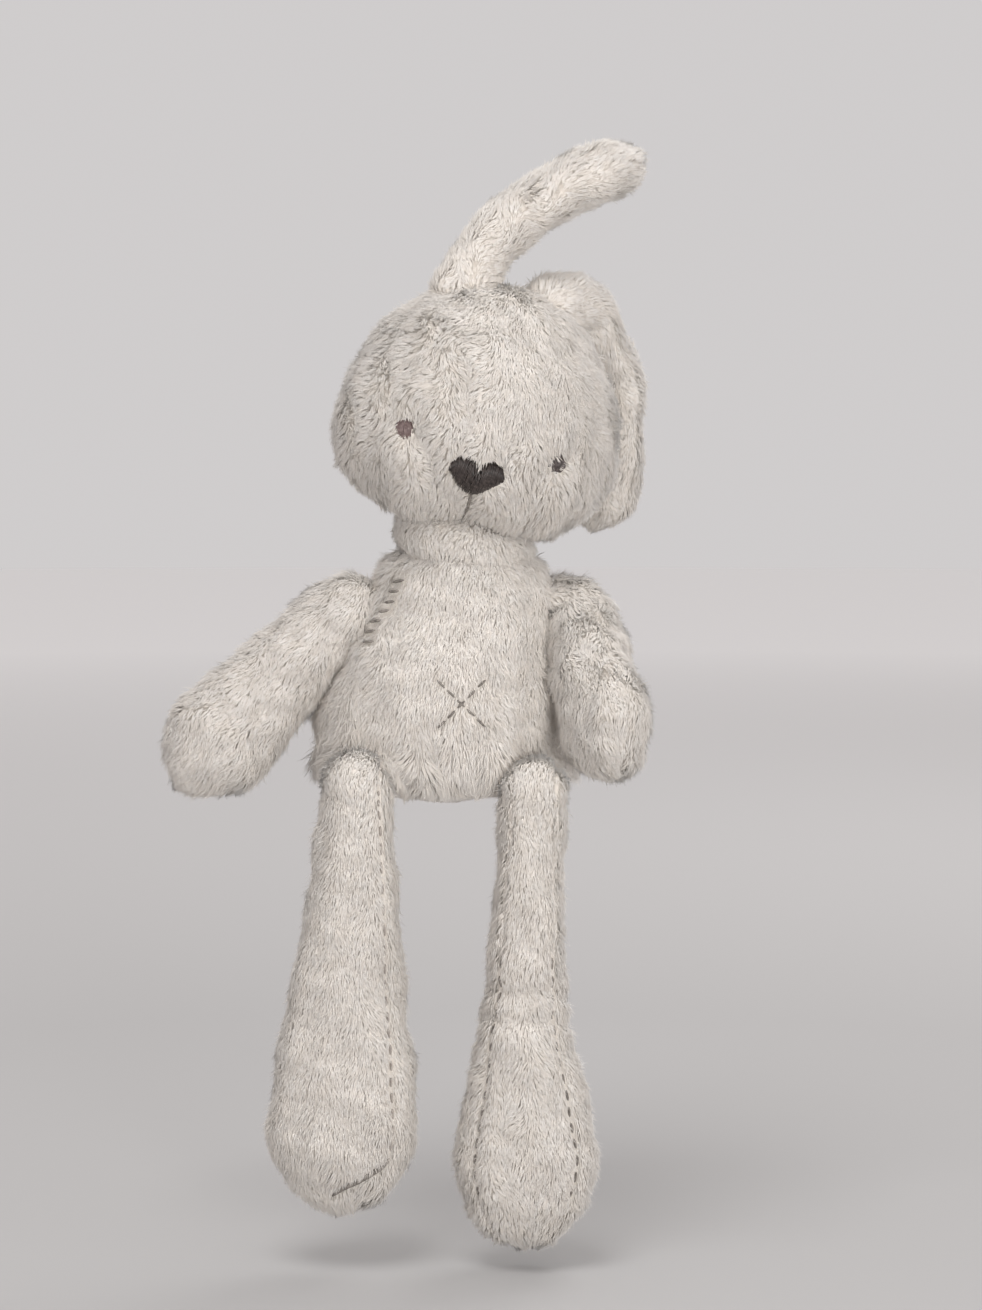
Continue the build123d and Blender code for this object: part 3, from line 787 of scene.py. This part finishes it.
leg_ends = {"left": mm(-40, -40.5, -147.5), "right": mm(29.5, -40.5, -161)}
leg_half_widths = {  # share of the leg, half width in millimetres
    "left": [(0, 12.5), (0.18, 13.5), (0.38, 17.5), (0.56, 22.5), (0.70, 26), (0.84, 28), (1, 27)],
    "right": [
        (0, 12.5), (0.20, 12.5), (0.38, 13.5), (0.50, 16),
        (0.62, 19.5), (0.74, 24.5), (0.84, 27.5), (1, 27),
    ],
}
LEG_HALF_DEPTH = 15.5 * MM - PILE * 0.5
leg_depths = ([0, 0.2, 0.4, 0.62, 0.85, 1], [0.72, 0.76, 0.82, 0.92, 1.06, 0.95])  # shares of it
toe_rounds = {"left": 30 * MM, "right": 38 * MM}
KNEE_REACH = 15 * MM  # of a blend, each way from the knee
SEAM_ANGLES = (0.74, math.pi - 0.74)  # round a leg, on both sides of its front
sewn_seams = {"left": SEAM_ANGLES[:1], "right": SEAM_ANGLES}
legs = {}
for side, end in leg_ends.items():
    hip, knee = pivot(f"hip_{side}_swing"), pivot(f"knee_{side}_bend")
    start = hip + mm(0, 15, 1)
    widths = np.array(leg_half_widths[side], float)
    depths = hermite(*leg_depths, widths[:, 0])
    stations = np.stack([widths[:, 0], widths[:, 1] * MM - PILE * 0.8, depths * LEG_HALF_DEPTH], 1)
    middle = knee + (mm(-2.5, 0, 0) if side == "right" else 0)
    form = soft_form([start, hip, middle, end], RIGHT, stations, 14 * MM, toe_rounds[side], rows=130)
    folds = [knee + mm(0, 0, drop) for drop in (0, -12)] if side == "right" else []
    form.push(
        lambda at, shares, angles: 0.6 * MM * waves(at, 14 * MM, 61)
        + 0.4 * MM * waves(at, 6 * MM, 62)
        - 1.5 * MM * sum(np.exp(-((apart(angles, seam) / 0.07) ** 2)) for seam in sewn_seams[side])
        - sum(
            1.6 * MM * np.exp(-(((at[..., 2] - fold[2] + 3 * MM * waves(at, 15 * MM, 63)) / (2 * MM)) ** 2))
            for fold in folds
        )
    )
    reach = unit(knee - hip) * KNEE_REACH
    blend = (f"leg_{side}_upper", f"leg_{side}_lower", knee - reach, knee + reach)
    legs[side] = (form, blend)
    panels = ("front", "gusset", "back", "stuffing")
    nodes = [f"leg_{side}_{part}_{panel}" for part in ("upper", "lower") for panel in panels]
    dressed(form, f"leg_{side}_skin", blend, *nodes)

# ---------------------------------------------------------------- tail

tail_low, tail_high = node_box("tail_skin")
tail_middle, tail_radius = (tail_low + tail_high) / 2, (tail_high[0] - tail_low[0]) / 2 - PILE
tail_reach = BACK * tail_radius
tail = soft_form(
    [tail_middle - tail_reach, tail_middle + tail_reach],
    RIGHT,
    [(0, tail_radius, tail_radius), (1, tail_radius, tail_radius)],
    tail_radius,
    tail_radius,
    rows=40,
    columns=48,
)
dressed(tail, "tail_skin_soft", "torso", "tail_skin", "tail_stuffing")

# ---------------------------------------------------------------- stitches

STITCH, STITCH_GAP = 3.6, 2.4  # millimetres
STITCH_RADIUS = 0.42 * MM
LADDER_LOW, LADDER_HIGH, LADDER_LEFT = 60, 83, -29.5  # millimetres
NAVEL_ASIDE, NAVEL_UP = 6, 39.5  # millimetres, where its two lines cross

ladder = []
for z in np.linspace(LADDER_LOW, LADDER_HIGH, 7):
    wall = torso_tree.ray_cast(Vector((-0.2, -0.014, z * MM)), Vector((1, 0, 0)))[0].x / MM
    start = max(wall + 0.4, LADDER_LEFT + 0.1 * (z - LADDER_LOW))
    steps = np.linspace(0, 1, 5)
    ladder.append(
        [on_torso((start + STITCH * step) * MM, (z + 0.8 * step) * MM, 1.8 * MM) for step in steps]
    )
threads("ladder_stitches", ladder, 0.6 * MM, dark_thread, "seam_thread", "torso", "arm_seam_stitches")


def navel_place(along, slope):
    """A place on one of the two crossing lines, at about these millimetres from where they cross."""
    return on_torso((NAVEL_ASIDE + along * 0.72) * MM, (NAVEL_UP + slope * along * 0.72) * MM, 1.4 * MM)


navel = [
    [navel_place(along, slope) for along in np.linspace(start, start + STITCH, 5)]
    for slope in (1, -1)
    for start in (-12, -7, -2, 3, 8)
]
threads("navel_line", navel, STITCH_RADIUS, dark_thread, "seam_thread", "torso", "navel_stitches")


def leg_stitches(side, angle, first, last, look):
    """A dashed line of top stitches down a leg's seam, and the points of it."""
    form, blend = legs[side]
    length = np.linalg.norm(np.diff(form.points.mean(1), axis=0), axis=1).sum()
    stitch, gap = STITCH * MM / length, STITCH_GAP * MM / length
    lines, share = [], first
    while share < last:
        lines.append([form.at(share + stitch * step, angle, 1.3 * MM) for step in np.linspace(0, 1, 5)])
        share += stitch + gap
    edge = "inner" if (angle < math.pi / 2) == (side == "left") else "outer"
    threads(f"leg_{side}_stitches_{edge}", lines, STITCH_RADIUS, look, "seam_thread", blend)
    return [point for line in lines for point in line[::2]]


# ---------------------------------------------------------------- pile on every part


def torso_ruffle(at):
    fringe = 1 - smoothstep(14 * MM, 30 * MM, at[:, 2])
    return 0.16 + 0.55 * fringe + 0.22 * waves(at, 15 * MM, 71)


def torso_length(at):
    seated = 1 - smoothstep(3 * MM, 9 * MM, at[:, 2])
    fringe = np.exp(-(((at[:, 2] - 17 * MM) / (6 * MM)) ** 2))
    return 1.0 + 0.9 * fringe - 0.72 * seated


ladder_points = [point for line in ladder for point in line]
navel_points = [point for line in navel for point in line[::2]]
SIDE_SEAMS = (0, math.pi)  # angles round a form
TORSO_PILE_TOP = 97 * MM  # the neck hides the torso above it
pile(
    torso,
    "torso_pile",
    "torso",
    torso_ruffle,
    flow=-1,
    length=torso_length,
    keep=lambda at: at[..., 2] < TORSO_PILE_TOP,
    seams=SIDE_SEAMS,
    clear=[(ladder_points, 3.4 * MM), (navel_points, 2.2 * MM)],
)
pile(neck, "neck_pile", "neck", even(0.55), flow=-1, length=even(0.85))


def head_ruffle(at):
    local = at - HEAD_BASE
    aside, up = local @ head_right / MM, local @ head_up / MM
    left = 1 - smoothstep(-12, 2, aside)
    low = 1 - smoothstep(38, 52, up)
    cheek = smoothstep(28, 40, np.abs(aside)) * (1 - smoothstep(60, 80, up))
    tufted = np.maximum(np.maximum(left * (1 - smoothstep(72, 90, up)), low), cheek)
    return 0.14 + 0.8 * tufted + 0.15 * waves(at, 12 * MM, 72)


def head_length(at):
    local = at - HEAD_BASE
    aside, up = local @ head_right / MM, local @ head_up / MM
    muzzle = np.exp(-(((aside) / 15) ** 2) - (((up - 17) / 9) ** 2))
    return 1.0 - 0.25 * muzzle


pile(
    head,
    "head_pile",
    "head",
    head_ruffle,
    flow=-1,
    drift=-0.15 * head_front,
    length=head_length,
    seams=SIDE_SEAMS,
    clear=[
        (nose_points, 2.6 * MM),
        (eye_points["left"], 1.7 * MM),
        (eye_points["right"], 1.5 * MM),
        (mouth_line, 1.6 * MM),
    ],
)

ear_roughness = {"up": 0.6, "folded": 0.4}
for name, (form, blend) in ears.items():
    pile(
        form,
        f"ear_{name}_pile",
        blend,
        lambda at: ear_roughness[name] + 0.2 * waves(at, 9 * MM, 73),
        length=even(0.85),
        seams=SIDE_SEAMS,
    )

for side, form in arms.items():
    pile(
        form,
        f"arm_{side}_pile",
        f"arm_{side}",
        lambda at: 0.36 + 0.25 * waves(at, 12 * MM, 74),
        drift=0.35 * DOWN,
        seams=SIDE_SEAMS,
    )


def toe_painted_shadow(form, blend):
    """A dark thread put where the left leg's inner seam turns under its toe and lies in shadow: painted
    shade.
    """
    steps = np.linspace(0, 1, 13)
    line = [form.at(0.885 + 0.08 * step, SEAM_ANGLES[0] + 0.95 * step, 0.9 * MM) for step in steps]
    threads("leg_left_toe_painted_shadow", [line], 1.0 * MM, dark_thread, "seam_thread", blend)
    return line


leg_roughness = {"left": 0.14, "right": 0.28}
for side, (form, blend) in legs.items():
    stitches = []
    if side == "right":
        for angle in SEAM_ANGLES:
            stitches += leg_stitches(side, angle, 0.42, 0.90, dark_thread)
    else:
        stitches += leg_stitches(side, SEAM_ANGLES[0], 0.12, 0.90, pale_thread)
        # a dark thread along the shadowed seam under the toe: painted shade
        stitches += toe_painted_shadow(form, blend)

    def leg_ruffle(at):
        toe = 1 - smoothstep(-150 * MM, -120 * MM, at[:, 2])
        return leg_roughness[side] + 0.5 * toe + 0.2 * waves(at, 12 * MM, 75)

    pile(
        form,
        f"leg_{side}_pile",
        blend,
        leg_ruffle,
        drift=0.2 * DOWN,
        length=even(0.85),
        seams=sewn_seams[side],
        clear=[(stitches, 2.0 * MM)],
    )

pile(tail, "tail_pile", "torso", even(0.9), length=even(1.3), drift=0.4 * DOWN)

# ---------------------------------------------------------------- floor, light and camera

FLOOR_Z, FLOOR_RADIUS = -170.5 * MM, 6


def paler_outwards(made, per_metre, near_color, far_color):
    """Colour that grows paler with the distance from an object's middle."""
    tree = made.node_tree
    place, far = tree.nodes.new("ShaderNodeTexCoord"), tree.nodes.new("ShaderNodeVectorMath")
    share, ramp = tree.nodes.new("ShaderNodeMath"), tree.nodes.new("ShaderNodeValToRGB")
    far.operation, share.operation = "LENGTH", "MULTIPLY"
    share.inputs[1].default_value = per_metre
    first, last = ramp.color_ramp.elements
    first.position, last.position = 0.15, 1.0
    first.color, last.color = (*near_color, 1), (*far_color, 1)
    tree.links.new(place.outputs["Object"], far.inputs[0])
    tree.links.new(far.outputs["Value"], share.inputs[0])
    tree.links.new(share.outputs["Value"], ramp.inputs["Fac"])
    tree.links.new(ramp.outputs["Color"], tree.nodes["Principled BSDF"].inputs["Base Color"])
    return made


# The floor is grey round the toy, painted shade, and grows paler outwards until it matches the backdrop.
floor_look = paler_outwards(
    material("floor", (0.5, 0.5, 0.5), 0.9), 0.3, (0.50, 0.49, 0.485), (1.0, 0.985, 0.98)
)
bpy.ops.mesh.primitive_circle_add(
    vertices=128, radius=FLOOR_RADIUS, fill_type="NGON", location=(0, 0, FLOOR_Z)
)
floor = bpy.context.object
floor.name = "floor"
floor.data.materials.append(floor_look)

world = bpy.data.worlds.new("studio")
bpy.context.scene.world = world
world.use_nodes = True
background = world.node_tree.nodes["Background"]
background.inputs["Color"].default_value = (0.66, 0.64, 0.64, 1)
background.inputs["Strength"].default_value = 0.95
LIT_PLACE = Vector((0.01, 0, 0.05))


def soft_light(name, place, size, power):
    """A round area light that shines on the toy and is itself out of sight."""
    lamp = bpy.data.lights.new(name, "AREA")
    lamp.shape, lamp.size, lamp.energy = "DISK", size, power
    light = bpy.data.objects.new(name, lamp)
    light.location = place
    light.visible_camera = False
    light.rotation_euler = (LIT_PLACE - Vector(place)).to_track_quat("-Z", "Y").to_euler()
    bpy.context.scene.collection.objects.link(light)


soft_light("key", (-0.30, -0.78, 1.6), 0.9, 11.5)
soft_light("fill", (0.4, -1.5, 0.05), 0.4, 9.5)
soft_light("rim", (0.7, 1.0, 1.2), 1.0, 6)

CAMERA_FAR, CAMERA_UP = 1.25, math.radians(4)
FRAME_HEIGHT = 0.4975  # what the picture takes in at the object
look_at = Vector((0.017, 0, 0.055))
lens = bpy.data.cameras.new("camera")
lens.sensor_fit = "VERTICAL"
lens.angle_y = 2 * math.atan(FRAME_HEIGHT / 2 / CAMERA_FAR)
camera = bpy.data.objects.new("camera", lens)
camera.location = look_at + Vector((0, -math.cos(CAMERA_UP), math.sin(CAMERA_UP))) * CAMERA_FAR
camera.rotation_euler = (look_at - camera.location).to_track_quat("-Z", "Y").to_euler()
bpy.context.scene.collection.objects.link(camera)
bpy.context.scene.camera = camera
bpy.context.scene.view_settings.view_transform = "Standard"
